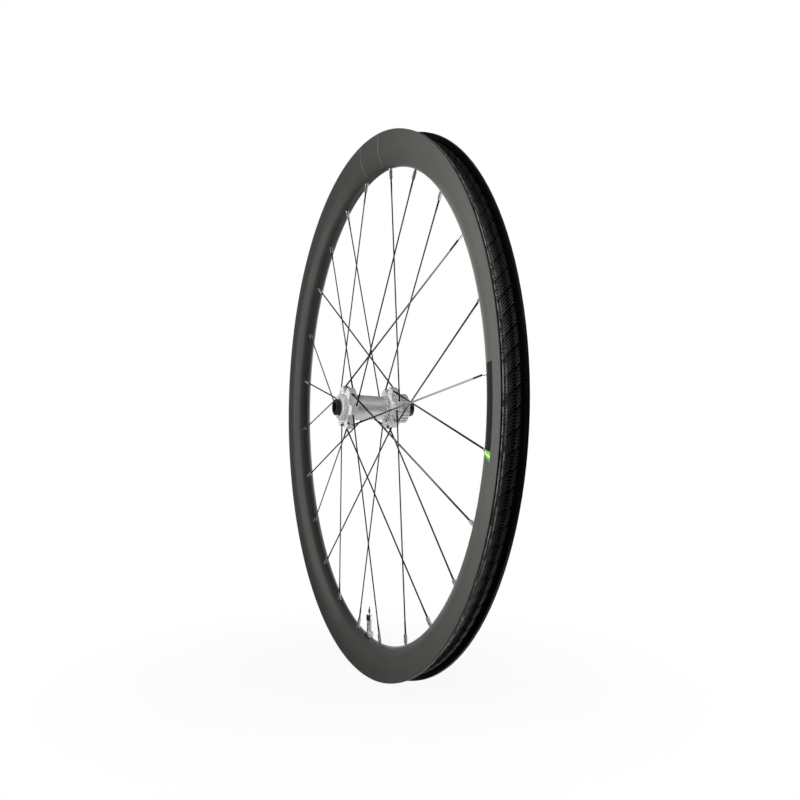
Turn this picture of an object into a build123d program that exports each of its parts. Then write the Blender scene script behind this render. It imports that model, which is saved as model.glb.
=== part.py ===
from build123d import *
import math
import os

os.makedirs("parts", exist_ok=True)

# A front bicycle wheel for disc brakes, without its tyre.
# Millimetres and degrees. The axle lies along Y through the origin, the wheel's centre.
# +X is the direction of travel, +Y the brake side, +Z up. Angles run from +X towards +Z.

# Rim
bead_seat_diameter = 622.0
lip_height = 6.0
lip_thickness = 3.3
lip_chamfer = 0.4
rim_width = 29.2
rim_depth = 38.5
flank_height = 13.0
nose_rounding = 9.5
side_wall = 1.2
nose_wall = 3.0
bed_wall = 1.4
bead_shelf_width = 5.9
hump_height = 0.5
hump_width = 0.8
channel_depth = 4.0
channel_width = 8.4

# Spokes and nipples
spokes_per_side = 12
spoke_diameter = 2.0
blade_thickness = 1.0
blade_taper = 6.0
round_length_at_hub = 16.0
round_length_at_rim = 24.0
spoke_head_diameter = 3.4
spoke_head_thickness = 1.5
spoke_crossings = 2
nipple_diameter = 4.0
nipple_square = 3.3
nipple_square_length = 9.0
nipple_head_diameter = 5.8
nipple_head_height = 3.0
nipple_clearance = 0.2
thread_clearance = 0.02

# Hub shell
hub_width = 100.0
right_flange_offset = 34.0
left_flange_offset = 22.0
flange_thickness = 8.4
flange_root_diameter = 35.0
lobe_width = 12.5
lobe_tip_diameter = 52.0
lobe_rounding = 3.2
lobe_root_rounding = 2.4
spoke_circle_diameter = 46.6
spoke_side_step = 1.9
head_seat_setback = 2.6
spoke_hole_clearance = 0.1
barrel_diameter_right = 31.0
barrel_diameter_left = 27.6
barrel_flare = 3.0
barrel_bore_clearance = 1.9
end_ring_wall = 2.4
end_ring_chamfer = 1.2
end_ring_groove = 1.0
end_ring_groove_depth = 0.8
rib_height = 1.0
rib_width = 1.4
rotor_mount_diameter = 35.0
rotor_shoulder_diameter = 39.0
rotor_shoulder_width = 3.0
rotor_spline_count = 24
rotor_spline_depth = 1.2
rotor_spline_gap = 2.0
lockring_bore_diameter = 29.0
lockring_bore_depth = 7.0

# Axle, caps and bearings
thru_axle_bore = 12.2
axle_diameter = 17.0
axle_shoulder_height = 1.1
cap_diameter = 19.0
cap_face_wall = 3.0
cap_chamfer = 0.8
right_cap_length = 6.5
left_cap_length = 20.0
left_cap_showing = 9.5
bearing_outer_diameter = 26.0
bearing_width = 5.0
race_wall = 1.35
bearing_seal_thickness = 0.5
bearing_seal_inset = 0.1
seal_gap = 0.3
dust_seal_width = 1.0

# Valve
valve_angle = 266.9
valve_stem_diameter = 6.0
valve_stem_bore = 3.8
valve_hole_clearance = 0.25
valve_reach = 37.5
valve_stem_showing = 20.5
valve_foot_diameter = 7.2
valve_foot_height = 0.8
valve_base_length = 13.0
valve_base_clearance = 0.2
valve_base_height = 2.0
valve_base_chamfer = 0.4
lock_nut_diameter = 10.8
lock_nut_height = 6.4
lock_nut_chamfer = 0.7
nut_gasket_diameter = 9.2
nut_gasket_height = 1.4
core_collar_diameter = 7.6
core_collar_height = 7.4
core_collar_chamfer = 0.6
core_length = 28.0
core_bore_clearance = 0.05
pin_diameter = 1.6
pin_travel = 2.0
poppet_diameter = 3.2
poppet_height = 3.0
thumb_nut_diameter = 3.6
thumb_nut_tip_diameter = 2.6
thumb_nut_height = 4.6
seat_gap = 0.05
stop_gap = 0.3

# Sizes that follow from those above
bead_seat_radius = bead_seat_diameter / 2
rim_radius = bead_seat_radius + lip_height
nose_radius = rim_radius - rim_depth
half_width = rim_width / 2
inner_half_width = half_width - lip_thickness
flank_radius = rim_radius - flank_height
channel_radius = bead_seat_radius - channel_depth
cavity_floor = nose_radius + nose_wall
spoke_radius = spoke_diameter / 2
axle_radius = axle_diameter / 2
axle_shoulder = axle_radius + axle_shoulder_height
cap_radius = cap_diameter / 2
bearing_radius = bearing_outer_diameter / 2
inner_race_radius = axle_radius + race_wall
outer_race_bore = bearing_radius - race_wall
right_bearing_face = -hub_width / 2 + right_cap_length
left_bearing_face = hub_width / 2 - left_cap_length
right_bearing_inner = right_bearing_face + bearing_width
left_bearing_inner = left_bearing_face - bearing_width
right_shell_end = right_bearing_face - dust_seal_width
left_shell_end = hub_width / 2 - left_cap_showing
shell_bore = axle_shoulder + barrel_bore_clearance
spoke_pitch = 180.0 / spokes_per_side
spoke_sweep = (2 * spoke_crossings + 1) * spoke_pitch
lobes_per_flange = spokes_per_side // 2
valve_tip = nose_radius - valve_reach
stem_end = nose_radius - valve_stem_showing
collar_end = stem_end - core_collar_height


def save(name, shape):
    export_step(shape, os.path.join("parts", name + ".step"))


def turned(*outline):
    """A piece turned about the axle, from points given as (radius, y)."""
    return revolve(make_face(Polyline(*outline, close=True)), Axis.Y)


def tube(outer_radius, inner_radius, y_from, y_to):
    """A plain ring about the axle."""
    return turned((inner_radius, y_from), (outer_radius, y_from), (outer_radius, y_to), (inner_radius, y_to))


def rod(radius, z_from, z_to):
    """A cylinder on the local Z axis, between two heights."""
    return Pos(0, 0, z_from) * Cylinder(radius, z_to - z_from, align=(Align.CENTER, Align.CENTER, Align.MIN))


def around(angle, radius, y):
    """The point at an angle and radius about the axle."""
    turn = math.radians(angle)
    return Vector(radius * math.cos(turn), y, radius * math.sin(turn))


# Lacing: every lobe of a flange carries two spokes that leave it in opposite directions


def lacing():
    """Name, hub-to-rim frame and free length of each spoke."""
    runs = []
    for side, flange_y in (("right", -right_flange_offset), ("left", left_flange_offset)):
        for number in range(spokes_per_side):
            position = 2 * number + (0 if side == "right" else 1)
            nipple_angle = valve_angle + spoke_pitch * (position + 0.5)
            forward = -1 if number % 2 else 1
            lobe_angle = nipple_angle + forward * spoke_sweep
            start = around(lobe_angle, spoke_circle_diameter / 2, flange_y - forward * spoke_side_step)
            end = around(nipple_angle, cavity_floor, 0)
            along = (end - start).normalized()
            across = Vector(0, 1, 0).cross(along).normalized()
            frame = Plane(origin=start, x_dir=across, z_dir=along)
            name = "spoke_%s_%02d" % (side, number + 1)
            runs.append((name, frame, (end - start).length))
    return runs


def flange_lobe_angle(side):
    """The angle of one lobe on a flange."""
    first_nipple = valve_angle + spoke_pitch * (0.5 if side == "right" else 1.5)
    return first_nipple + spoke_sweep


# Rim: one hollow carbon ring with a hookless tyre bed


def nose_curve(inset):
    """From flank to flank around the nose: two long side arcs that run into a small one."""
    half_span = half_width - inset
    tip = nose_radius + inset
    rounding = nose_rounding - inset
    depth = flank_radius - tip
    side_rounding = (depth**2 + half_span**2 - 2 * depth * rounding) / (2 * (half_span - rounding))
    reach = side_rounding / (side_rounding - rounding)
    blend_radius = flank_radius - reach * (depth - rounding)
    blend_y = half_span - side_rounding + reach * (side_rounding - half_span)
    near_side = TangentArc((flank_radius, half_span), (blend_radius, blend_y), tangent=(-1, 0))
    far_side = TangentArc((flank_radius, -half_span), (blend_radius, -blend_y), tangent=(-1, 0))
    return near_side + far_side + ThreePointArc((blend_radius, blend_y), (tip, 0), (blend_radius, -blend_y))


def rim_section():
    """The rim's wall, drawn as (radius, y)."""
    hump_side = inner_half_width - bead_shelf_width
    hump_foot = hump_side - hump_width
    bed = [
        (flank_radius, half_width),
        (rim_radius, half_width),
        (rim_radius, inner_half_width),
        (bead_seat_radius, inner_half_width),
        (bead_seat_radius, hump_side),
        (bead_seat_radius + hump_height, hump_side - hump_width / 2),
        (bead_seat_radius, hump_foot),
        (channel_radius, channel_width / 2),
    ]
    mirrored = [(radius, -y) for radius, y in reversed(bed)]
    outside = make_face(Polyline(*bed, *mirrored) + nose_curve(0))
    lips = outside.vertices().filter_by(lambda corner: corner.X > rim_radius - side_wall)
    outside = chamfer(lips, lip_chamfer)
    cavity = [
        (flank_radius, half_width - side_wall),
        (bead_seat_radius - bed_wall, inner_half_width),
        (bead_seat_radius - bed_wall, hump_foot + bed_wall),
        (channel_radius - bed_wall, channel_width / 2 + bed_wall),
    ]
    cavity += [(radius, -y) for radius, y in reversed(cavity)]
    hollow = make_face(Polyline(*cavity) + nose_curve(side_wall))
    nipple_shelf = Pos(cavity_floor - nose_wall, 0) * Rectangle(2 * nose_wall, rim_width)
    hollow -= nipple_shelf
    return outside - hollow


def make_rim(runs):
    rim = revolve(rim_section(), Axis.Y)
    nipple_hole = nipple_diameter / 2 + nipple_clearance
    holes = []
    for _, frame, length in runs:
        holes.append(frame * rod(nipple_hole, length - 3 * nose_wall, length + nose_wall))
    valve_hole = valve_stem_diameter / 2 + valve_hole_clearance
    holes.append(valve_frame * rod(valve_hole, nose_radius - nose_wall, rim_radius))
    return rim - holes


# Spokes and nipples, drawn along the local Z axis from the middle of the hub's lobe


def make_spoke(length):
    """A round wire with a head at the hub and two flats forged along its middle."""
    seat = -head_seat_setback
    flat_start = round_length_at_hub
    flat_end = length - round_length_at_rim
    half_blade = blade_thickness / 2
    flat = make_face(
        Polyline(
            (spoke_diameter, flat_start),
            (spoke_radius, flat_start),
            (half_blade, flat_start + blade_taper),
            (half_blade, flat_end - blade_taper),
            (spoke_radius, flat_end),
            (spoke_diameter, flat_end),
            close=True,
        )
    )
    forged = extrude(Plane.YZ * flat, spoke_diameter, both=True)
    spoke = rod(spoke_radius, seat, length + nipple_head_height / 2)
    spoke -= [forged, Rot(0, 0, 180) * forged]
    return spoke + rod(spoke_head_diameter / 2, seat - spoke_head_thickness, seat)


def make_nipple(length):
    """A round nut with a tapered head inside the rim and a square end for the spoke key."""
    radius = nipple_diameter / 2
    head_end = length + nipple_head_height
    square_start = length - nose_wall - nipple_diameter / 2
    square_end = square_start - nipple_square_length
    nipple = rod(radius, square_end, length)
    key_flat = Pos(nipple_square / 2 + radius, 0, (square_start + square_end) / 2) * Box(
        nipple_diameter, 2 * nipple_diameter, nipple_square_length
    )
    nipple -= [Rot(0, 0, turn) * key_flat for turn in (0, 90, 180, 270)]
    nipple += Pos(0, 0, (length + head_end) / 2) * Cone(radius, nipple_head_diameter / 2, nipple_head_height)
    return nipple - rod(spoke_radius + thread_clearance, square_end, head_end)


# Hub shell: one piece with two lobed flanges and the splined seat for the brake rotor


def flange_outline():
    """The flange seen along the axle, with its lobes starting at angle 0."""
    tip = lobe_tip_diameter / 2
    outline = Circle(flange_root_diameter / 2)
    for number in range(lobes_per_flange):
        lobe = Pos(tip / 2, 0) * Rectangle(tip, lobe_width)
        outline += Rot(0, 0, number * 360 / lobes_per_flange) * lobe
    border = (flange_root_diameter + lobe_tip_diameter) / 4
    tips = outline.vertices().filter_by(lambda corner: math.hypot(corner.X, corner.Y) > border)
    outline = fillet(tips, lobe_rounding)
    roots = outline.vertices().filter_by(
        lambda corner: abs(math.hypot(corner.X, corner.Y) - flange_root_diameter / 2) < 0.01
    )
    return fillet(roots, lobe_root_rounding)


def make_flange(side, flange_y):
    plate = extrude(flange_outline(), flange_thickness / 2, both=True)
    frame = Plane(origin=(0, flange_y, 0), x_dir=(1, 0, 0), z_dir=(0, -1, 0))
    return frame * Rot(0, 0, flange_lobe_angle(side)) * plate


def make_rotor_mount(y_from, y_to):
    """The splined drum that the brake rotor slides onto."""
    radius = rotor_mount_diameter / 2
    outline = Circle(radius)
    groove = Pos(radius, 0) * Rectangle(2 * rotor_spline_depth, rotor_spline_gap)
    turns = [Rot(0, 0, number * 360 / rotor_spline_count) for number in range(rotor_spline_count)]
    outline -= [turn * groove for turn in turns]
    frame = Plane(origin=(0, y_to, 0), x_dir=(1, 0, 0), z_dir=(0, -1, 0))
    return frame * extrude(outline, y_to - y_from)


def make_hub_shell(runs):
    right_inside = -right_flange_offset + flange_thickness / 2
    right_outside = -right_flange_offset - flange_thickness / 2
    left_inside = left_flange_offset - flange_thickness / 2
    left_outside = left_flange_offset + flange_thickness / 2
    root = flange_root_diameter / 2
    barrel_right = barrel_diameter_right / 2
    barrel_left = barrel_diameter_left / 2
    rib = barrel_left + rib_height
    first_rib = left_inside - 4 * rib_width
    second_rib = left_inside - 2 * rib_width
    shoulder_end = left_outside + rotor_shoulder_width
    core = barrel_left - rib_height
    end_ring = bearing_radius + end_ring_wall
    groove_floor = end_ring - end_ring_groove_depth
    shell = turned(
        (core, right_shell_end),
        (end_ring - end_ring_chamfer, right_shell_end),
        (end_ring, right_shell_end + end_ring_chamfer),
        (end_ring, right_outside - end_ring_groove),
        (groove_floor, right_outside - end_ring_groove),
        (groove_floor, -right_flange_offset),
        (root, -right_flange_offset),
        (root, right_inside),
        (barrel_right, right_inside + barrel_flare),
        (barrel_left, first_rib),
        (rib, first_rib),
        (rib, first_rib + rib_width),
        (barrel_left, first_rib + rib_width),
        (barrel_left, second_rib),
        (rib, second_rib),
        (rib, second_rib + rib_width),
        (root, left_inside),
        (root, left_outside),
        (rotor_shoulder_diameter / 2, left_outside),
        (rotor_shoulder_diameter / 2, shoulder_end),
        (core, shoulder_end),
    )
    shell += tube(core, shell_bore, right_shell_end, shoulder_end)
    shell += make_flange("right", -right_flange_offset)
    shell += make_flange("left", left_flange_offset)
    shell += make_rotor_mount(shoulder_end, left_shell_end)
    hole_radius = spoke_radius + spoke_hole_clearance
    seat_radius = spoke_head_diameter / 2 + spoke_hole_clearance
    holes = []
    for _, frame, _ in runs:
        holes.append(frame * rod(hole_radius, -head_seat_setback, lobe_width))
        holes.append(frame * rod(seat_radius, -lobe_width, -head_seat_setback))
    lockring_start = left_shell_end - lockring_bore_depth
    inside = tube(shell_bore, 0, -hub_width / 2, hub_width / 2)
    inside += tube(bearing_radius, 0, -hub_width / 2, right_bearing_inner)
    inside += tube(bearing_radius, 0, left_bearing_inner, hub_width / 2)
    inside += tube(lockring_bore_diameter / 2, 0, lockring_start, hub_width / 2)
    return shell - inside - holes


# Axle, end caps and bearings


def make_axle():
    end = hub_width / 2 - cap_face_wall
    axle = tube(axle_radius, thru_axle_bore / 2, -end, end)
    axle += tube(axle_shoulder, thru_axle_bore / 2, right_bearing_inner, left_bearing_inner)
    return axle


def make_end_cap(side, length):
    """A cup that slides over the axle's end and presses on the inner race."""
    face = side * hub_width / 2
    floor = side * (hub_width / 2 - cap_face_wall)
    lip = side * (hub_width / 2 - length)
    return turned(
        (thru_axle_bore / 2, face),
        (cap_radius - cap_chamfer, face),
        (cap_radius, face - side * cap_chamfer),
        (cap_radius, lip),
        (axle_radius, lip),
        (axle_radius, floor),
        (thru_axle_bore / 2, floor),
    )


def save_bearing(name, face, inner):
    """The pieces of one cartridge bearing, from its outer face to its inner one."""
    low, high = min(face, inner), max(face, inner)
    middle = (low + high) / 2
    save(name + "_outer_race", tube(bearing_radius, outer_race_bore, low, high))
    save(name + "_inner_race", tube(inner_race_radius, axle_radius, low, high))
    seal_bore = inner_race_radius + seal_gap
    seals = {
        "_outer_seal": face + math.copysign(bearing_seal_inset, inner - face),
        "_inner_seal": inner + math.copysign(bearing_seal_inset, face - inner),
    }
    for suffix, start in seals.items():
        end = start + math.copysign(bearing_seal_thickness, middle - start)
        save(name + suffix, tube(outer_race_bore, seal_bore, min(start, end), max(start, end)))


def make_dust_seal(bearing_face, side):
    """The rubber ring that closes the gap between shell and end cap."""
    outer = bearing_face + side * dust_seal_width
    bore = max(cap_radius, inner_race_radius) + seal_gap
    return tube(bearing_radius, bore, min(bearing_face, outer), max(bearing_face, outer))


# Valve, drawn along the local Z axis, where the height is the distance from the axle

valve_frame = Plane(origin=(0, 0, 0), x_dir=(0, 1, 0), z_dir=around(valve_angle, 1, 0))
stem_radius = valve_stem_diameter / 2
base_bottom = channel_radius + seat_gap
base_top = base_bottom + valve_base_height
nut_top = nose_radius - stop_gap


def make_valve_stem():
    stem = rod(stem_radius, stem_end, base_top)
    stem += rod(valve_foot_diameter / 2, base_top, base_top + valve_foot_height)
    return stem - rod(valve_stem_bore / 2, stem_end, base_top + valve_foot_height)


def make_valve_base():
    base_width = channel_width - 2 * valve_base_clearance
    foot = SlotOverall(valve_base_length, base_width, rotation=90)
    base = Pos(0, 0, base_bottom) * extrude(foot, valve_base_height)
    base = chamfer(base.faces().sort_by(Axis.Z)[-1].edges(), valve_base_chamfer)
    return base - rod(stem_radius, base_bottom, base_top)


def make_lock_nut():
    nut = rod(lock_nut_diameter / 2, nut_top - lock_nut_height, nut_top)
    rims = nut.faces().filter_by(Axis.Z).edges()
    nut = chamfer(rims, lock_nut_chamfer)
    nut -= rod(nut_gasket_diameter / 2, nut_top - nut_gasket_height, nut_top)
    return nut - rod(stem_radius + thread_clearance, nut_top - lock_nut_height, nut_top)


def make_nut_gasket():
    gasket = rod(nut_gasket_diameter / 2, nut_top - nut_gasket_height, nut_top + stop_gap - seat_gap)
    return gasket - rod(stem_radius + thread_clearance, nut_top - nut_gasket_height, nut_top + stop_gap)


def make_valve_core():
    collar = rod(core_collar_diameter / 2, collar_end, stem_end)
    collar = chamfer(collar.faces().filter_by(Axis.Z).edges(), core_collar_chamfer)
    core = collar + rod(valve_stem_bore / 2, stem_end, stem_end + core_length)
    return core - rod(pin_diameter / 2 + core_bore_clearance, collar_end, stem_end + core_length)


def make_valve_pin():
    poppet_start = stem_end + core_length + seat_gap
    pin = rod(pin_diameter / 2, valve_tip, poppet_start)
    return pin + rod(poppet_diameter / 2, poppet_start, poppet_start + poppet_height)


def make_thumb_nut():
    top = collar_end - pin_travel - stop_gap
    bottom = top - thumb_nut_height
    nut = Pos(0, 0, (bottom + top) / 2) * Cone(
        thumb_nut_tip_diameter / 2, thumb_nut_diameter / 2, thumb_nut_height
    )
    return nut - rod(pin_diameter / 2 + thread_clearance, bottom, top)


# Build and write every piece

spoke_runs = lacing()
save("rim", make_rim(spoke_runs))
save("hub_shell", make_hub_shell(spoke_runs))
for spoke_name, spoke_frame, spoke_length in spoke_runs:
    save(spoke_name, spoke_frame * make_spoke(spoke_length))
save("nipples", Compound(children=[frame * make_nipple(length) for _, frame, length in spoke_runs]))

save("axle", make_axle())
save("right_end_cap", make_end_cap(-1, right_cap_length))
save("left_end_cap", make_end_cap(1, left_cap_length))
save_bearing("right_bearing", right_bearing_face, right_bearing_inner)
save_bearing("left_bearing", left_bearing_face, left_bearing_inner)
save("right_dust_seal", make_dust_seal(right_bearing_face, -1))
save("left_dust_seal", make_dust_seal(left_bearing_face, 1))

save("valve_stem", valve_frame * make_valve_stem())
save("valve_base", valve_frame * make_valve_base())
save("valve_lock_nut", valve_frame * make_lock_nut())
save("valve_nut_gasket", valve_frame * make_nut_gasket())
save("valve_core", valve_frame * make_valve_core())
save("valve_pin", valve_frame * make_valve_pin())
save("valve_thumb_nut", valve_frame * make_thumb_nut())
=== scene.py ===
import math

import bpy
from mathutils import Matrix, Vector


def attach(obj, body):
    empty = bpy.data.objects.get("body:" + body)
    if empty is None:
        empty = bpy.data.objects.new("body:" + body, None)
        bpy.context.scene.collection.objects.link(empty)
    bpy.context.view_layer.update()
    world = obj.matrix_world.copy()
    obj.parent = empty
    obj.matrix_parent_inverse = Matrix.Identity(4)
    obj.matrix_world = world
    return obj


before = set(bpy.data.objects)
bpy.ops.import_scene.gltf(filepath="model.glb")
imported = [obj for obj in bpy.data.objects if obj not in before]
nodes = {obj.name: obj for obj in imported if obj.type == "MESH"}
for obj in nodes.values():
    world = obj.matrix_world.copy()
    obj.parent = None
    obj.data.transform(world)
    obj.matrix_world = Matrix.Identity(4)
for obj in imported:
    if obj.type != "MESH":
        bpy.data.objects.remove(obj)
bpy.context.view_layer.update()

# A bare front wheel: origin at its centre, +Y along the axle, +Z up, in metres.
# The solids take materials. Prints, the cloth and resin of the tyre bed and a pale line along the near hump, which
# is a painted highlight, are added to the rim.

# Camera, from the photograph: degrees, metres and pixels
camera_azimuth = 67.885
camera_elevation = -2.490
camera_distance = 0.970
camera_turn = 0.484
camera_tilt = -1.401
camera_near_clip = 0.01
focal_pixels = 805.2
image_centre = (380.5, 427.58)
image_size = 800.0
sensor_width = 36.0

# Lamps: places and sizes in metres, spread in degrees, level as a share of white
key_place = (0.40, -0.55, 0.13)
key_aim = (0.40, 0.0, 0.13)
key_size = (0.3, 0.7)
key_level = 4.4
key_spread = 120.0
side_place = (-0.35, -2.2, 0.2)
side_aim = (0.0, 0.0, 0.0)
side_size = (1.2, 1.2)
side_level = 4.9
front_place = (1.3, 0.15, 0.05)
front_aim = (0.0, 0.0, 0.0)
front_size = (0.5, 0.5)
front_level = 1.5
softbox_place = (-0.69, -1.2, 0.4)
softbox_aim = (-0.69, 0.0, 0.4)
softbox_size = (1.38, 1.4)
softbox_level = 2.1
sun_place = (-0.6, -0.2, 3.0)
sun_aim = (0.0, 0.0, 0.0)
sun_level = 0.35
sun_angle = 1.4
fill_level = 0.02

# What gloss shows of the room, as (share of a half turn, level): on the far side by the turn up from +X, with a
# softbox straight behind the wheel, and on the near side by the swing from -X to -Y
far_room = [(0.0, 0.03), (0.07, 0.07), (0.12, 0.17), (0.17, 0.42), (0.205, 0.80), (0.25, 0.55), (0.28, 0.46),
            (0.39, 0.33), (0.55, 0.20), (0.72, 0.16), (0.82, 0.25), (0.92, 0.9), (1.0, 1.0)]
far_softbox_level = 1.2
far_softbox_edge = (0.6, 0.85)
near_room = [(0.0, 0.45), (0.046, 0.45), (0.06, 0.03), (0.5, 0.05), (1.0, 0.10)]

# Floor. Each row of four is a fade: from here, to here, the value before and the value after
floor_height = -0.317
floor_gap = 0.0002
floor_size = 24.0
floor_roughness = 0.9
paper_tones = ((0.95, 0.95, 0.95), (0.97, 0.97, 0.97))
floor_bounce = (0.45, 0.45, 0.45)
# In gloss the floor glows as a painted reflection: painted shade towards +X and on the near side, and a painted
# shadow under the wheel
gloss_shade_along_x = (0.36, 0.46, 1.0, 0.17)
gloss_shade_past_wheel = (-0.02, 0.02, 0.05, 1.0)
gloss_shadow_under_wheel = (0.06, 0.15, 0.5, 1.0)
shadow_fade = (0.08, 0.4, 0.93, 1.0)
gloss_end = (1.2, 1.6, 0.0, 1.0)

# Rim, in metres and degrees
rim_half_width = 0.0146
flank_radius = 0.304
nose_radius = 0.2785
nose_rounding = 0.0095
lip_radius = 0.317
lip_thickness = 0.0033
lip_chamfer = 0.0004
bead_seat_radius = 0.311
hump_height = 0.0005
hump_ridge = 0.0050
hump_foot = 0.0046
channel_radius = 0.307
channel_half_width = 0.0042
valve_angle = 266.9
valve_base_half_length = 0.0065
valve_margin = 0.002

# Where the rim's colours change, in metres past the edges above
bed_floor_margin = 0.0004
bed_side_margin = 0.0003
lip_margin = 0.0001
# The pale band on the near lip's top is a painted highlight; these give its width and its fade
highlight_width = 0.0012
highlight_fade = 0.00015

# Hub, spokes and valve, in metres
flange_start = (0.0135, 0.0165)
blade_start = (0.045, 0.055)
blade_end = (0.256, 0.260)
valve_thread_pitch = 0.00079
lock_nut_knurls = 26

# Marks on the rim's near side
strip_angles = (-9.35, 5.3)
strip_radii = (0.291, 0.304)
bar_top = -9.45
bar_bottom = (-10.3, -11.1)
bar_line_width = 0.3
pinstripe_angles = (80.9, 91.3)
pinstripe_radii = (0.2795, 0.3145)
pinstripe_width = 0.0014
mark_lift = 0.00012
mark_thickness = 0.00005

# Woven cloth in the tyre bed. A tow's section is (share of its width, share of its height)
bundle_count = 110
ridges_per_bundle = 5
ridge_pitch = 0.00295
ridge_width = 0.0012
ridge_height = 0.00018
first_ridge_scale = 1.25
ridge_fall = 0.08
cross_tow_width = 0.6
cross_tow_height = 0.5
tow_section = [(-0.5, -0.1), (-0.22, 0.8), (0.0, 1.0), (0.22, 0.8), (0.5, -0.1)]
cloth_bend = 0.0070
cloth_half_width = 0.0086

# Resin skin, and the pale line along the near hump, which is a painted highlight
skin_margin = 0.0008
skin_lift = 0.00002
skin_steps = 720
line_reach = 0.0009
line_half_top = 0.00015
line_outer_lift = 0.00003
line_top_lift = 0.00006
line_inner_lift = 0.00012
line_blob = 0.0004
blob_sharpness = 6
line_steps_per_bundle = 12

# Noise in the materials mostly runs between these
noise_run = (0.3, 0.7)

inner_half_width = rim_half_width - lip_thickness
highlight_outer = inner_half_width + highlight_width
hump_end = 2 * hump_ridge - hump_foot
bundle_pitch = 2 * math.pi * bead_seat_radius / bundle_count
bundle_width = ridges_per_bundle * ridge_pitch
valve_outwards = (math.cos(math.radians(valve_angle)), math.sin(math.radians(valve_angle)))


class Graph:
    """A node tree, with a short call for each kind of node used here."""

    def __init__(self, tree):
        self.tree = tree

    def put(self, socket, value):
        """Link an output to a socket, or set the socket to a plain value."""
        if isinstance(value, bpy.types.NodeSocket):
            self.tree.links.new(value, socket)
        elif isinstance(value, tuple) and len(value) == 3 and socket.type == "RGBA":
            socket.default_value = (*value, 1.0)
        else:
            socket.default_value = value

    def node(self, kind, **settings):
        node = self.tree.nodes.new("ShaderNode" + kind)
        for name, value in settings.items():
            setattr(node, name, value)
        return node

    def math(self, operation, *values):
        node = self.node("Math", operation=operation)
        for socket, value in zip(node.inputs, values):
            self.put(socket, value)
        return node.outputs[0]

    def times(self, first, second):
        return self.math("MULTIPLY", first, second)

    def split(self, vector):
        node = self.node("SeparateXYZ")
        self.put(node.inputs[0], vector)
        return node.outputs[0], node.outputs[1], node.outputs[2]

    def point(self):
        """The place on the object, as one vector."""
        return self.node("TexCoord").outputs["Object"]

    def vector(self, x, y, z):
        node = self.node("CombineXYZ")
        for socket, value in zip(node.inputs, (x, y, z)):
            self.put(socket, value)
        return node.outputs[0]

    def distance(self, first, second):
        """The length of two steps at a right angle."""
        return self.math("SQRT", self.math("ADD", self.times(first, first), self.times(second, second)))

    def around_axle(self):
        """The angle about the axle, the distance from it and the place along it."""
        x, y, z = self.split(self.point())
        return self.math("ARCTAN2", z, x), self.distance(x, z), y

    def around_rim(self):
        """The way round the tyre bed, the distance from the axle and the place along it, all in metres."""
        angle, radius, across = self.around_axle()
        return self.times(angle, bead_seat_radius), radius, across

    def noise(self, vector, scale, detail=2.0, roughness=0.5):
        node = self.node("TexNoise")
        self.put(node.inputs["Vector"], vector)
        node.inputs["Scale"].default_value = scale
        node.inputs["Detail"].default_value = detail
        node.inputs["Roughness"].default_value = roughness
        return node.outputs["Fac"]

    def spread(self, value, low, high, to_low, to_high):
        """Value from low to high, mapped to to_low and to_high and held at the ends."""
        node = self.node("MapRange")
        for socket, number in zip(node.inputs, (value, low, high, to_low, to_high)):
            self.put(socket, number)
        return node.outputs[0]

    def vary(self, noise, low, high):
        """The run of a noise, mapped to low and high."""
        return self.spread(noise, *noise_run, low, high)

    def mix(self, factor, first, second):
        """A colour between two."""
        node = self.node("Mix", data_type="RGBA")
        self.put(node.inputs["Factor"], factor)
        self.put(node.inputs[6], first)
        self.put(node.inputs[7], second)
        return node.outputs[2]

    def shade(self, noise, dark, light):
        """A colour between two, by a noise."""
        return self.mix(self.vary(noise, 0.0, 1.0), dark, light)

    def blend(self, factor, first, second):
        """A number between two."""
        node = self.node("Mix", data_type="FLOAT")
        self.put(node.inputs["Factor"], factor)
        self.put(node.inputs[2], first)
        self.put(node.inputs[3], second)
        return node.outputs[0]


class Surface(Graph):
    """One material with its shader."""

    def __init__(self, name, metallic=0.0, specular=0.5):
        self.material = bpy.data.materials.new(name)
        self.material.use_nodes = True
        super().__init__(self.material.node_tree)
        self.shader = self.tree.nodes["Principled BSDF"]
        self.shader.inputs["Metallic"].default_value = metallic
        self.shader.inputs["Specular IOR Level"].default_value = specular

    def bump(self, height, distance):
        node = self.node("Bump")
        node.inputs["Distance"].default_value = distance
        self.put(node.inputs["Height"], height)
        self.put(self.shader.inputs["Normal"], node.outputs[0])

    def finish(self, colour, roughness):
        self.put(self.shader.inputs["Base Color"], colour)
        self.put(self.shader.inputs["Roughness"], roughness)
        return self.material


def darker(colour, share):
    return tuple(share * value for value in colour)


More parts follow.
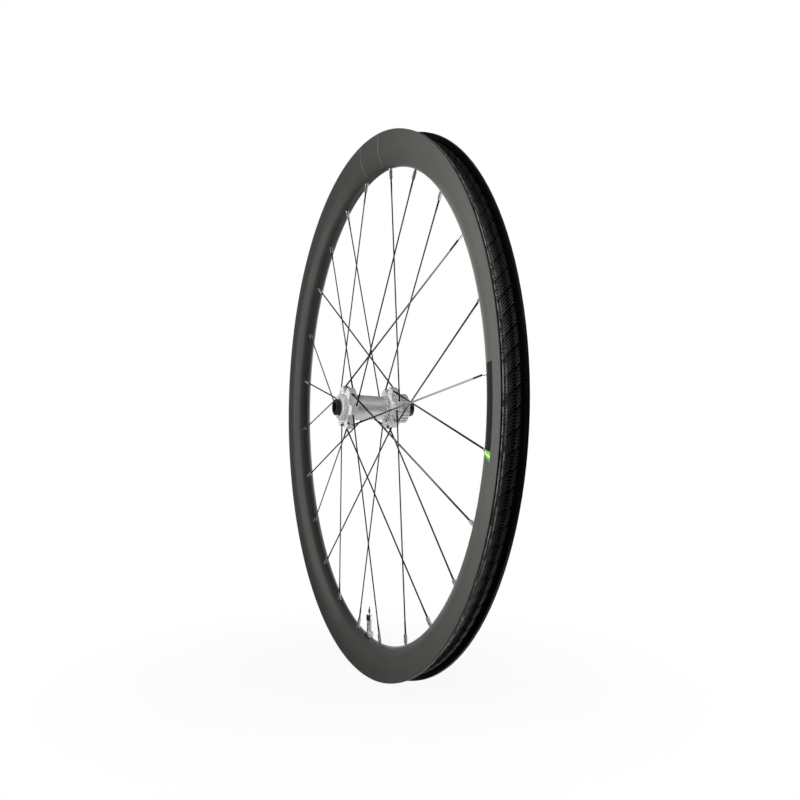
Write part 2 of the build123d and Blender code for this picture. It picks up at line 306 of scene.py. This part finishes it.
def rim_carbon():
    """Matte laminate outside, black gloss in the tyre bed, and a pale band on the near lip's top that is a painted
    highlight.
    """
    outside_dark, outside_light = (0.060, 0.0607, 0.0556), (0.072, 0.0727, 0.0667)
    bed_dark, bed_light = (0.001, 0.00105, 0.00105), (0.004, 0.0042, 0.0042)
    lip_highlight_tone = (0.66, 0.665, 0.655)
    g = Surface("rim_carbon", specular=0.18)
    arc, radius, across = g.around_rim()
    stretched = g.vector(g.times(arc, 60.0), g.times(radius, 1500.0), g.times(across, 1500.0))
    streak = g.noise(stretched, 1.0, 3.0, 0.6)
    mottle = g.noise(g.vector(arc, radius, across), 35.0)
    grain = g.math("ADD", g.times(streak, 0.5), g.times(mottle, 0.5))
    grain = g.vary(grain, 0.0, 1.0)
    outside = g.mix(grain, outside_dark, outside_light)
    fleck = g.noise(g.vector(arc, across, radius), 420.0, 3.0, 0.7)
    bed = g.mix(g.spread(fleck, 0.35, 0.65, 0.0, 1.0), bed_dark, bed_light)
    above_floor = g.math("GREATER_THAN", radius, channel_radius - bed_floor_margin)
    between_lips = g.math("LESS_THAN", g.math("ABSOLUTE", across), inner_half_width + bed_side_margin)
    on_lip = g.math("GREATER_THAN", radius, lip_radius - lip_chamfer - lip_margin)
    inside_edge = g.math("GREATER_THAN", across, lip_chamfer + lip_margin - rim_half_width)
    in_bed = g.math("MAXIMUM", g.times(above_floor, between_lips), g.times(on_lip, inside_edge))
    # A painted highlight along the inner top of the near lip, broken up by noise
    highlight_noise = g.noise(g.vector(g.times(arc, 150.0), g.times(across, 60.0), radius), 1.0, 3.0, 0.6)
    painted_lip_highlight = g.times(on_lip, g.spread(highlight_noise, 0.42, 0.60, 0.15, 1.0))
    painted_lip_highlight = g.times(painted_lip_highlight, g.spread(across, -highlight_outer, highlight_fade - highlight_outer, 0.0, 1.0))
    painted_lip_highlight = g.times(painted_lip_highlight, g.math("LESS_THAN", across, 0.0))
    g.bump(mottle, 0.00004)
    matt = g.spread(grain, 0.0, 1.0, 0.34, 0.29)
    gloss = g.vary(fleck, 0.18, 0.26)
    tone = g.mix(painted_lip_highlight, g.mix(in_bed, outside, bed), lip_highlight_tone)
    return g.finish(tone, g.blend(in_bed, matt, gloss))


def cloth_carbon():
    """Lacquered tows: black, with random flecks lightened most along the first ridges of each bundle as a painted
    sheen, and more gloss there.
    """
    dark, light = (0.006, 0.0062, 0.006), (0.030, 0.031, 0.031)
    lacquer_ior = 2.3
    g = Surface("cloth_carbon", specular=1.0)
    g.shader.inputs["IOR"].default_value = lacquer_ior
    arc, radius, across = g.around_rim()
    run = g.math("DIVIDE", g.math("SUBTRACT", arc, across), bundle_pitch)
    phase = g.math("SUBTRACT", run, g.math("FLOOR", run))
    fleck = g.noise(g.vector(arc, across, radius), 520.0, 3.0, 0.7)
    # The lighter colour along the first ridges of each bundle is a painted sheen
    painted_light = g.times(g.spread(fleck, 0.4, 0.68, 0.25, 1.0), g.spread(phase, 0.05, 0.75, 1.0, 0.1))
    g.bump(fleck, 0.00003)
    rough = g.math("ADD", g.spread(phase, 0.1, 0.8, 0.16, 0.55), g.vary(fleck, 0.0, 0.1))
    return g.finish(g.mix(painted_light, dark, light), rough)


def skin_carbon():
    """Dull black resin under the tows."""
    dark, light = (0.004, 0.0041, 0.0039), (0.009, 0.0092, 0.0088)
    g = Surface("skin_carbon", specular=0.08)
    arc, radius, across = g.around_rim()
    fleck = g.noise(g.vector(arc, across, radius), 700.0, 3.0, 0.7)
    g.bump(fleck, 0.00002)
    return g.finish(g.shade(fleck, dark, light), g.vary(fleck, 0.32, 0.44))


def hump_highlight_carbon():
    """The pale edge of the hump: a painted highlight, broken up by noise."""
    dark, light = (0.12, 0.122, 0.12), (0.70, 0.705, 0.695)
    g = Surface("hump_highlight_carbon")
    arc, radius, across = g.around_rim()
    highlight_noise = g.noise(g.vector(g.times(arc, 170.0), g.times(across, 60.0), radius), 1.0, 3.0, 0.6)
    g.bump(highlight_noise, 0.00003)
    return g.finish(g.mix(g.spread(highlight_noise, 0.42, 0.62, 0.0, 1.0), dark, light), g.vary(highlight_noise, 0.42, 0.26))


def mark_print(name, colour, dull, specular=0.25):
    """A flat print on the laminate, slightly uneven."""
    g = Surface(name, specular=specular)
    point = g.point()
    fine = g.noise(point, 1400.0)
    broad = g.noise(point, 120.0, 3.0, 0.6)
    g.bump(fine, 0.00001)
    return g.finish(g.shade(broad, darker(colour, 0.85), colour), g.vary(fine, dull - 0.04, dull + 0.04))


def turned_metal(name, colour, dull, metallic=1.0, depth=0.000006, flange_dull=0.0):
    """Metal turned on a lathe about the axle: fine rings, slight stains in the polish, and duller flanges."""
    lines = 2600.0
    g = Surface(name, metallic=metallic)
    angle, radius, across = g.around_axle()
    stretched = g.vector(g.times(angle, 0.4), g.times(radius, lines), g.times(across, lines))
    rings = g.noise(stretched, 1.0, 2.0, 0.6)
    stain = g.noise(g.point(), 160.0)
    g.bump(rings, depth)
    rough = g.vary(stain, *dull)
    if flange_dull:
        rough = g.math("ADD", rough, g.spread(radius, *flange_start, 0.0, flange_dull))
    return g.finish(g.shade(stain, darker(colour, 0.93), colour), rough)


def spoke_wire():
    """Black-plated wire, brighter along the flat blade than on the round ends: a painted reflection of the blade's
    flat faces.
    """
    ends, blade_sheen_dark, blade_sheen_light = (0.03, 0.03, 0.0305), (0.19, 0.19, 0.192), (0.23, 0.23, 0.232)
    g = Surface("spoke_black", metallic=1.0)
    _, radius, _ = g.around_axle()
    point = g.point()
    fine = g.noise(point, 900.0, 3.0, 0.6)
    broad = g.noise(point, 90.0, 3.0, 0.6)
    # The blade's lighter colour is a painted reflection
    blade = g.times(g.spread(radius, *blade_start, 0.0, 1.0), g.spread(radius, *blade_end, 1.0, 0.0))
    g.bump(fine, 0.000006)
    return g.finish(g.mix(blade, ends, g.shade(broad, blade_sheen_dark, blade_sheen_light)), g.vary(broad, 0.12, 0.18))


def fine_metal(name, colour, dull):
    """Drawn or forged metal with a fine even grain."""
    g = Surface(name, metallic=1.0)
    point = g.point()
    fine = g.noise(point, 900.0, 3.0, 0.6)
    broad = g.noise(point, 90.0, 3.0, 0.6)
    g.bump(fine, 0.00001)
    return g.finish(g.shade(broad, darker(colour, 0.8), colour), g.vary(broad, *dull))


def valve_plate(name, knurls=0, thread=0.0):
    """Bright plate on the valve, with a fine thread along it or knurls round it."""
    dark, light = (0.84, 0.84, 0.83), (0.95, 0.95, 0.94)
    outwards_x, outwards_z = valve_outwards
    g = Surface(name, metallic=1.0)
    point = g.point()
    x, y, z = g.split(point)
    stain = g.noise(point, 200.0, 3.0, 0.6)
    if thread:
        along = g.math("ADD", g.times(x, outwards_x), g.times(z, outwards_z))
        g.bump(g.math("SINE", g.times(along, 2 * math.pi / thread)), 0.00018)
    elif knurls:
        aside = g.math("SUBTRACT", g.times(x, outwards_z), g.times(z, outwards_x))
        turn = g.math("ARCTAN2", y, aside)
        g.bump(g.math("SINE", g.times(turn, float(knurls))), 0.00025)
    else:
        g.bump(g.noise(point, 1200.0), 0.000004)
    return g.finish(g.shade(stain, dark, light), g.vary(stain, 0.08, 0.15))


def rubber():
    """Matt black rubber of seals, valve base and gasket."""
    dark, light = (0.012, 0.012, 0.012), (0.022, 0.022, 0.021)
    g = Surface("rubber", specular=0.3)
    point = g.point()
    fine = g.noise(point, 2200.0, 3.0, 0.7)
    broad = g.noise(point, 200.0)
    g.bump(fine, 0.00003)
    return g.finish(g.shade(broad, dark, light), g.vary(fine, 0.6, 0.8))


carbon = rim_carbon()
hub_metal = turned_metal("hub_alloy", (0.96, 0.96, 0.945), (0.28, 0.34), metallic=0.55, depth=0.000001,
                         flange_dull=0.2)
black_metal = turned_metal("black_anodised", (0.012, 0.012, 0.0125), (0.26, 0.38), metallic=0.0)
race_steel = turned_metal("race_steel", (0.58, 0.585, 0.6), (0.18, 0.3))
nipple_metal = fine_metal("nipple_alloy", (0.95, 0.95, 0.94), (0.30, 0.38))
spoke_metal = spoke_wire()
valve_metal = valve_plate("valve_plate")
valve_thread = valve_plate("valve_thread", thread=valve_thread_pitch)
valve_knurl = valve_plate("valve_knurl", knurls=lock_nut_knurls)
soft_black = rubber()


def material_for(name):
    """The material of a solid, by its name."""
    if name == "rim":
        return carbon
    if name == "hub_shell" or name.endswith("_dust_seal"):
        return hub_metal
    if name == "nipples":
        return nipple_metal
    if name.startswith("spoke_"):
        return spoke_metal
    if name.endswith("_race"):
        return race_steel
    if name.endswith("_seal") or name in ("valve_base", "valve_nut_gasket"):
        return soft_black
    if name == "valve_stem":
        return valve_thread
    if name == "valve_lock_nut":
        return valve_knurl
    if name.startswith("valve_"):
        return valve_metal
    return black_metal


for name, node in nodes.items():
    node.data.materials.clear()
    node.data.materials.append(material_for(name))


def add_piece(name, points, faces, material):
    """A piece of the turning wheel, shaded smooth, with the given material."""
    mesh = bpy.data.meshes.new(name)
    mesh.from_pydata(points, [], faces)
    mesh.update()
    for polygon in mesh.polygons:
        polygon.use_smooth = True
    mesh.materials.append(material)
    piece = bpy.data.objects.new(name, mesh)
    bpy.context.scene.collection.objects.link(piece)
    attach(piece, "wheel")


def polar(angle, radius, y):
    """The place at an angle and a distance about the axle, and y along it."""
    return (radius * math.cos(angle), y, radius * math.sin(angle))


def near_side(radius):
    """The rim's outside at a radius: its half width there, and the outward slope as (radius, y)."""
    depth = flank_radius - nose_radius
    side = (depth**2 + rim_half_width**2 - 2 * depth * nose_rounding) / (2 * (rim_half_width - nose_rounding))
    reach = side / (side - nose_rounding)
    blend = flank_radius - reach * (depth - nose_rounding)
    if radius >= flank_radius:
        return rim_half_width, (0.0, 1.0)
    if radius >= blend:
        inward = flank_radius - radius
        height = math.sqrt(side**2 - inward**2)
        return rim_half_width - side + height, (-inward / side, height / side)
    inward = nose_radius + nose_rounding - radius
    height = math.sqrt(max(nose_rounding**2 - inward**2, 0.0))
    return height, (-inward / nose_rounding, height / nose_rounding)


def make_mark(name, radii, edges, material, lift=mark_lift, columns=12, rows=20):
    """A thin print on the near side; edges gives its two angles at the inner and at the outer radius."""
    points, faces = [], []
    width = columns + 1
    for layer in (lift, lift + mark_thickness):
        for row in range(rows + 1):
            share = row / rows
            radius = radii[0] + share * (radii[1] - radii[0])
            y, (slope_r, slope_y) = near_side(radius)
            low = edges[0][0] + share * (edges[1][0] - edges[0][0])
            high = edges[0][1] + share * (edges[1][1] - edges[0][1])
            for column in range(width):
                angle = math.radians(low + (high - low) * column / columns)
                points.append(polar(angle, radius + slope_r * layer, -y - slope_y * layer))
    top = (rows + 1) * width
    for row in range(rows):
        for column in range(columns):
            a = row * width + column
            quad = (a, a + 1, a + width + 1, a + width)
            faces.append(quad)
            faces.append(tuple(top + corner for corner in reversed(quad)))
    border = list(range(width))
    border += [row * width + columns for row in range(1, rows + 1)]
    border += [rows * width + column for column in range(columns - 1, -1, -1)]
    border += [row * width for row in range(rows - 1, 0, -1)]
    for first, second in zip(border, border[1:] + border[:1]):
        faces.append((second, first, top + first, top + second))
    add_piece(name, points, faces, material)


def bed_radius_at(y):
    """The tyre bed's height at a place across the rim."""
    place = abs(y)
    if place <= channel_half_width:
        return channel_radius
    if place <= hump_foot:
        rise = (place - channel_half_width) / (hump_foot - channel_half_width)
        return channel_radius + rise * (bead_seat_radius - channel_radius)
    crest = 1 - abs(place - hump_ridge) / (hump_ridge - hump_foot)
    return bead_seat_radius + hump_height * max(crest, 0.0)


def both_sides(places, middle=()):
    """Places across the bed on one side, and the same on the other, in order from near to far."""
    return [-place for place in reversed(places)] + list(middle) + places


def near_valve(path):
    """Whether a path of (angle, y) places comes close to the valve's base."""
    for angle, y in path:
        gap = (angle - math.radians(valve_angle) + math.pi) % (2 * math.pi) - math.pi
        if abs(y) < hump_foot and abs(gap) * channel_radius < valve_base_half_length + valve_margin:
            return True
    return False


def add_tow(points, faces, path, width, height):
    """One raised tow along a path of (angle, y) places in the tyre bed, unless the valve is there."""
    if near_valve(path):
        return
    first, count = len(points), len(tow_section)
    for angle, y in path:
        radius = bed_radius_at(y)
        for step, lift in tow_section:
            points.append(polar(angle + step * width / radius, radius + lift * height, y))
    for number in range(len(path) - 1):
        for column in range(count - 1):
            a = first + number * count + column
            faces.append((a, a + 1, a + count + 1, a + count))


def make_cloth(material):
    """Slanting bundles of tows all round the bed, with short crossing tows in the gaps between them."""
    corners = [channel_half_width, hump_foot, hump_ridge, hump_end, cloth_bend, cloth_half_width]
    across = both_sides(corners, (-channel_half_width / 2, 0.0, channel_half_width / 2))
    points, faces = [], []
    gap_width = bundle_pitch - bundle_width
    half_step = gap_width / 4
    for bundle in range(bundle_count):
        start = bundle * bundle_pitch
        for ridge in range(ridges_per_bundle):
            run = start + (ridge + 0.5) * ridge_pitch
            path = [((run + y) / bead_seat_radius, y) for y in across]
            scale = first_ridge_scale if ridge == 0 else 1.0 - ridge_fall * ridge
            add_tow(points, faces, path, ridge_width, ridge_height * scale)
        middle = start + bundle_width + gap_width / 2
        y = -cloth_half_width + half_step
        while y < cloth_half_width - half_step:
            path = [((middle + y - aside) / bead_seat_radius, y + aside) for aside in (-half_step, 0.0, half_step)]
            add_tow(points, faces, path, cross_tow_width * ridge_width, cross_tow_height * ridge_height)
            y += ridge_pitch / 2
    add_piece("bed_cloth", points, faces, material)


def make_band(name, places, material, steps, blob=0.0):
    """A band round the rim through (radius, y) places, swelling by blob once in every bundle."""
    points, faces = [], []
    count = len(places)
    for step in range(steps):
        angle = 2 * math.pi * step / steps
        swell = blob * max(0.0, math.cos(bundle_count * angle)) ** blob_sharpness
        for number, (radius, y) in enumerate(places):
            raised = swell if 0 < number < count - 1 else 0.0
            points.append(polar(angle, radius + raised, y))
    for step in range(steps):
        here, after = step * count, (step + 1) % steps * count
        for number in range(count - 1):
            faces.append((here + number, here + number + 1, after + number + 1, after + number))
    add_piece(name, points, faces, material)


def make_skin(material):
    """The resin that lines the tyre bed from lip to lip."""
    corners = [channel_half_width, hump_foot, hump_ridge, hump_end, inner_half_width - skin_margin]
    places = [(bed_radius_at(y) + skin_lift, y) for y in both_sides(corners)]
    make_band("bed_skin", places, material, skin_steps)


def make_hump_line(material):
    """The near hump's ridge, with a painted highlight along it."""
    top = bead_seat_radius + hump_height + line_top_lift
    places = [
        (bead_seat_radius + line_outer_lift, -hump_ridge - line_reach),
        (top, -hump_ridge - line_half_top),
        (top, -hump_ridge + line_half_top),
        (bead_seat_radius + line_inner_lift, -hump_foot),
    ]
    make_band("hump_line", places, material, bundle_count * line_steps_per_bundle, line_blob)


def make_marks():
    """The dark strip with the green bar at its end, and two thin lines across the rim's top."""
    strip_print = mark_print("strip_print", (0.011, 0.0112, 0.011), 0.42, specular=0.08)
    green_print = mark_print("green_print", (0.16, 0.47, 0.05), 0.40)
    pale_print = mark_print("pale_print", (0.50, 0.80, 0.35), 0.40)
    line_print = mark_print("line_print", (0.20, 0.20, 0.175), 0.45)
    make_mark("side_strip", strip_radii, (strip_angles, strip_angles), strip_print, columns=60)
    bar_edges = [(bottom, bar_top) for bottom in bar_bottom]
    make_mark("green_bar", strip_radii, bar_edges, green_print)
    middles = [(low + high) / 2 for low, high in bar_edges]
    line_edges = [(middle - bar_line_width / 2, middle + bar_line_width / 2) for middle in middles]
    line_lift = mark_lift + 2 * mark_thickness
    make_mark("green_bar_line", strip_radii, line_edges, pale_print, lift=line_lift, columns=2)
    half = math.degrees(pinstripe_width / 2 / flank_radius)
    for number, angle in enumerate(pinstripe_angles, 1):
        edge = (angle - half, angle + half)
        make_mark("pinstripe_%d" % number, pinstripe_radii, (edge, edge), line_print, columns=2, rows=40)


make_marks()
make_cloth(cloth_carbon())
make_skin(skin_carbon())
make_hump_line(hump_highlight_carbon())


def make_camera():
    """The photograph's view: placed about the wheel's centre, then turned and tilted a little off it."""
    azimuth, elevation = math.radians(camera_azimuth), math.radians(camera_elevation)
    back = Vector((math.sin(azimuth) * math.cos(elevation), -math.cos(azimuth) * math.cos(elevation),
                   math.sin(elevation)))
    right = Vector((math.cos(azimuth), math.sin(azimuth), 0.0))
    up = back.cross(right)
    forward = -back + math.tan(math.radians(camera_turn)) * right + math.tan(math.radians(camera_tilt)) * up
    forward.normalize()
    across = (right - forward * right.dot(forward)).normalized()
    above = across.cross(forward)
    data = bpy.data.cameras.new("camera")
    data.sensor_width = sensor_width
    data.lens = focal_pixels / image_size * sensor_width
    data.shift_x = (image_size / 2 - image_centre[0]) / image_size
    data.shift_y = (image_centre[1] - image_size / 2) / image_size
    data.clip_start = camera_near_clip
    camera = bpy.data.objects.new("camera", data)
    turn = Matrix((across, above, -forward)).transposed().to_4x4()
    camera.matrix_world = Matrix.Translation(back * camera_distance) @ turn
    bpy.context.scene.collection.objects.link(camera)
    bpy.context.scene.camera = camera


def floor_paper():
    """White paper that keeps the wheel's shadow and runs out into the white behind it. In gloss it is black and
    glows white on the far side: a painted reflection, with painted shade towards +X and on the near side and a
    painted shadow under the wheel.
    """
    white, black = (1.0, 1.0, 1.0), (0.0, 0.0, 0.0)
    g = Surface("floor", specular=0.0)
    point = g.point()
    x, y, _ = g.split(point)
    path = g.node("LightPath")
    glossy = path.outputs["Is Glossy Ray"]
    shown = g.math("MAXIMUM", path.outputs["Is Camera Ray"], path.outputs["Is Transmission Ray"])
    paper = g.mix(g.noise(point, 300.0), *paper_tones)
    g.finish(g.mix(shown, g.mix(glossy, floor_bounce, black), paper), floor_roughness)
    # The floor's glow in gloss: a painted reflection with painted shade and a painted shadow under the wheel
    painted_light = g.times(g.spread(x, *gloss_shade_along_x), g.spread(y, *gloss_shade_past_wheel))
    painted_light = g.times(painted_light, g.spread(y, *gloss_shadow_under_wheel))
    g.put(g.shader.inputs["Emission Color"], white)
    g.put(g.shader.inputs["Emission Strength"], g.times(glossy, painted_light))
    away = g.distance(x, y)
    clear = g.math("MAXIMUM", g.times(g.spread(away, *shadow_fade), shown),
                   g.times(g.spread(away, *gloss_end), glossy))
    joined = g.node("MixShader")
    g.put(joined.inputs[0], clear)
    g.put(joined.inputs[1], g.shader.outputs[0])
    g.put(joined.inputs[2], g.node("BsdfTransparent").outputs[0])
    g.put(g.tree.nodes["Material Output"].inputs["Surface"], joined.outputs[0])
    return g.material


def make_floor():
    """A plain square under the wheel."""
    half, z = floor_size / 2, floor_height - floor_gap
    mesh = bpy.data.meshes.new("floor")
    mesh.from_pydata([(-half, -half, z), (half, -half, z), (half, half, z), (-half, half, z)], [], [(0, 1, 2, 3)])
    mesh.materials.append(floor_paper())
    floor = bpy.data.objects.new("floor", mesh)
    bpy.context.scene.collection.objects.link(floor)


def follow(g, place, stops):
    """A level that follows (place, level) stops."""
    node = g.node("ValToRGB")
    g.put(node.inputs[0], place)
    ramp = node.color_ramp.elements
    while len(ramp) < len(stops):
        ramp.new(1.0)
    for element, (share, level) in zip(ramp, stops):
        element.position = share
        element.color = (level, level, level, 1.0)
    return node.outputs[0]


def make_world():
    """White behind the wheel, a little fill on it, and in its gloss a dim room."""
    world = bpy.data.worlds.new("studio")
    bpy.context.scene.world = world
    world.use_nodes = True
    g = Graph(world.node_tree)
    x, y, z = g.split(g.node("TexCoord").outputs["Generated"])
    turn = g.math("DIVIDE", g.math("ARCTAN2", z, x), math.pi)
    far_level = g.blend(g.spread(y, *far_softbox_edge, 0.0, 1.0), follow(g, turn, far_room), far_softbox_level)
    swing = g.math("DIVIDE", g.math("ARCTAN2", g.times(y, -1.0), g.times(x, -1.0)), math.pi)
    room = g.blend(g.math("LESS_THAN", y, 0.0), far_level, follow(g, swing, near_room))
    path = g.node("LightPath")
    level = g.blend(path.outputs["Is Glossy Ray"], fill_level, room)
    shown = g.math("MAXIMUM", path.outputs["Is Camera Ray"], path.outputs["Is Transmission Ray"])
    background = g.tree.nodes["Background"]
    background.inputs["Color"].default_value = (1.0, 1.0, 1.0, 1.0)
    g.put(background.inputs["Strength"], g.blend(shown, level, 1.0))


def add_lamp(data, place, target):
    """A lamp at a place, facing a target."""
    lamp = bpy.data.objects.new(data.name, data)
    lamp.location = place
    lamp.rotation_euler = (Vector(target) - Vector(place)).to_track_quat("-Z", "Y").to_euler()
    bpy.context.scene.collection.objects.link(lamp)
    return lamp


def add_panel(name, place, target, size, level, spread=180.0):
    """A flat soft panel whose own brightness is level."""
    panel = bpy.data.lights.new(name, "AREA")
    panel.shape = "RECTANGLE"
    panel.size, panel.size_y = size
    panel.spread = math.radians(spread)
    panel.energy = level * math.pi * size[0] * size[1]
    return add_lamp(panel, place, target)


def make_lamps():
    """Soft panels and an overhead light on the wheel, and a wide softbox that shows in its gloss."""
    key = add_panel("key", key_place, key_aim, key_size, key_level, key_spread)
    side = add_panel("side", side_place, side_aim, side_size, side_level)
    front = add_panel("front", front_place, front_aim, front_size, front_level)
    sun = bpy.data.lights.new("overhead", "SUN")
    sun.energy = sun_level
    sun.angle = sun_angle
    overhead = add_lamp(sun, sun_place, sun_aim)
    for lamp in (key, side, front, overhead):
        lamp.visible_glossy = False
    softbox = add_panel("softbox", softbox_place, softbox_aim, softbox_size, softbox_level)
    softbox.visible_diffuse = False


make_camera()
make_floor()
make_world()
make_lamps()

bpy.context.scene.view_settings.view_transform = "Standard"
